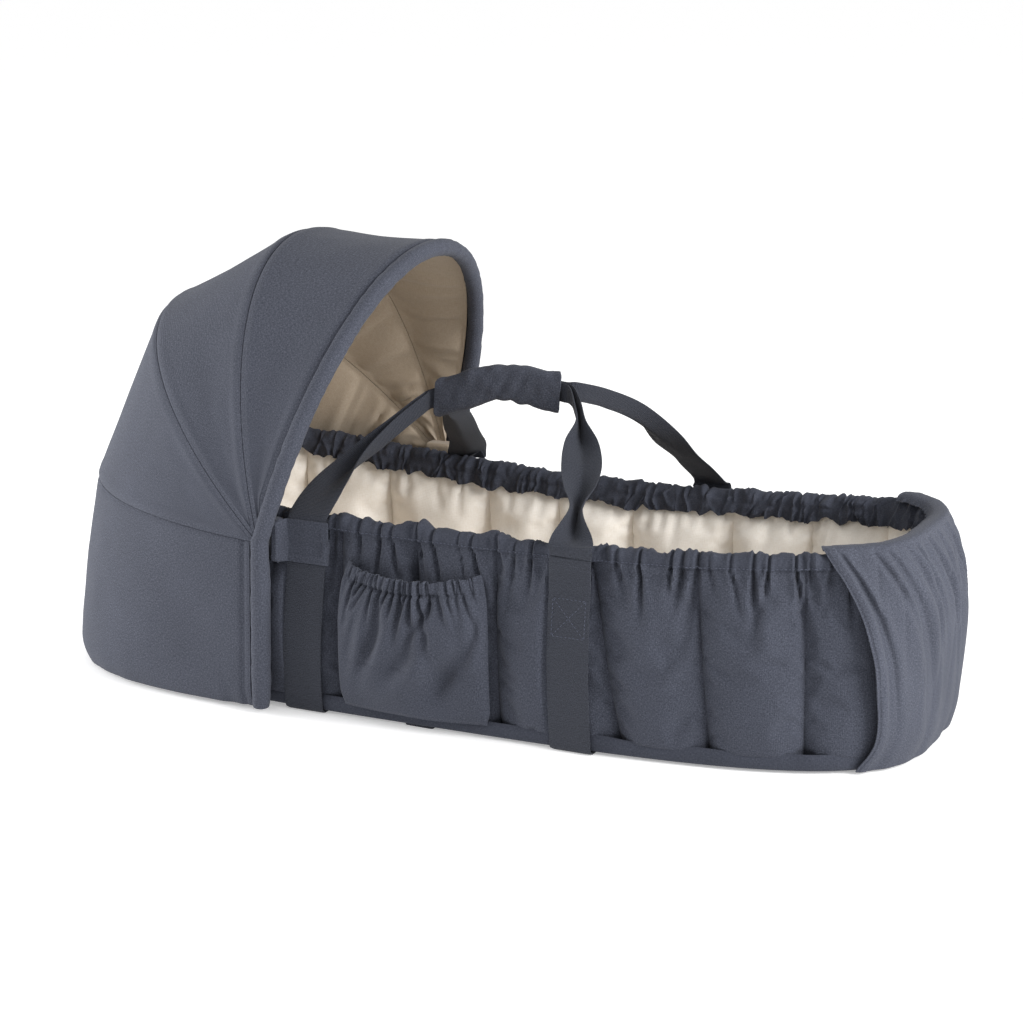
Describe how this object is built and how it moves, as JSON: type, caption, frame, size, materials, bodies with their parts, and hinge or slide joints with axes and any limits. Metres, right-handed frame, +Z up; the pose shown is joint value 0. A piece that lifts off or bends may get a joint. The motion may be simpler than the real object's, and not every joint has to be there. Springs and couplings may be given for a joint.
{
  "type": "baby nest",
  "caption": "Soft carrycot for a newborn: quilted oval wall, mattress, fold-back hood on bows, two webbing handles with a wrap, side pocket and foot cover.",
  "frame": {"origin": "on the ground, at the middle of the outer box", "axes": "+X towards the foot end, -X the head end with the hood, +Y the far long side, +Z up"},
  "size_m": [0.8331, 0.3788, 0.405],
  "materials": {
    "slate_cloth": "woven slate-blue cotton and polyester cloth, matt",
    "dark_slate_cloth": "the same cloth, gathered or in shade, matt",
    "beige_lining": "beige woven lining with a faint sheen",
    "slate_webbing": "ribbed slate-blue webbing",
    "wadding": "white polyester wadding",
    "board": "stiff fibre board",
    "elastic": "covered elastic",
    "bow_plastic": "black nylon strip",
    "pin_steel": "plated steel"
  },
  "bodies": {
    "cot": {"outer_cover": "slate_cloth", "hood_skirt": "slate_cloth", "near_skirt_edge": "slate_cloth", "far_skirt_edge": "slate_cloth", "side_pocket": "slate_cloth", "foot_cover": "slate_cloth", "near_strap_patch": "slate_cloth", "far_strap_patch": "slate_cloth", "base_cover": "dark_slate_cloth", "rim_ruffle": "dark_slate_cloth", "lining": "beige_lining", "mattress": "beige_lining", "head_carry_strap": "slate_webbing", "foot_carry_strap": "slate_webbing", "pram_anchor_strap": "slate_webbing", "wall_pad_01": "wadding", "wall_pad_02": "wadding", "wall_pad_03": "wadding", "wall_pad_04": "wadding", "wall_pad_05": "wadding", "wall_pad_06": "wadding", "wall_pad_07": "wadding", "wall_pad_08": "wadding", "wall_pad_09": "wadding", "wall_pad_10": "wadding", "wall_pad_11": "wadding", "wall_pad_12": "wadding", "wall_pad_13": "wadding", "wall_pad_14": "wadding", "wall_pad_15": "wadding", "wall_pad_16": "wadding", "wall_pad_17": "wadding", "wall_pad_18": "wadding", "wall_pad_19": "wadding", "wall_pad_20": "wadding", "base_board": "board", "rim_elastic": "elastic", "pocket_elastic": "elastic", "base_bow": "bow_plastic", "near_hinge_block": "bow_plastic", "far_hinge_block": "bow_plastic", "near_hinge_pin": "pin_steel", "far_hinge_pin": "pin_steel"},
    "rear_bow_body": {"rear_bow": "bow_plastic", "hood_rear_panel": "slate_cloth", "hood_rear_lining": "beige_lining"},
    "middle_bow_body": {"middle_bow": "bow_plastic", "hood_middle_panel": "slate_cloth", "hood_middle_lining": "beige_lining"},
    "front_bow_body": {"front_bow": "bow_plastic", "hood_front_edge": "slate_cloth", "hood_front_panel": "slate_cloth", "hood_front_lining": "beige_lining"},
    "near_handle": {"near_handle_webbing": "slate_webbing", "grip_wrap": "slate_cloth"},
    "far_handle": {"far_handle_webbing": "slate_webbing"}
  },
  "joints": [
    {"name": "rear_bow_turn", "type": "hinge", "parent": "cot", "child": "rear_bow_body", "pos_m": [-0.152, 0, 0.1565], "axis": [0, -1, 0], "range_deg": [0, 36], "deforming": ["hood_rear_panel", "hood_rear_lining"]},
    {"name": "middle_bow_turn", "type": "hinge", "parent": "rear_bow_body", "child": "middle_bow_body", "pos_m": [-0.152, 0, 0.1565], "axis": [0, -1, 0], "range_deg": [0, 26.5], "deforming": ["hood_middle_panel", "hood_middle_lining"]},
    {"name": "front_bow_turn", "type": "hinge", "parent": "middle_bow_body", "child": "front_bow_body", "pos_m": [-0.152, 0, 0.1565], "axis": [0, -1, 0], "range_deg": [0, 16], "deforming": ["hood_front_panel", "hood_front_lining"]},
    {"name": "near_handle_fold", "type": "hinge", "parent": "cot", "child": "near_handle", "pos_m": [0.01025, -0.15746, 0.18254], "axis": [1, 0, 0], "range_deg": [0, 195]},
    {"name": "far_handle_fold", "type": "hinge", "parent": "cot", "child": "far_handle", "pos_m": [0.01025, 0.15746, 0.16963], "axis": [-1, 0, 0], "range_deg": [0, 195]}
  ],
  "couplings": [
    {"joint": "middle_bow_turn", "follows": "rear_bow_turn", "ratio": 0.73611},
    {"joint": "front_bow_turn", "follows": "rear_bow_turn", "ratio": 0.44444}
  ]
}
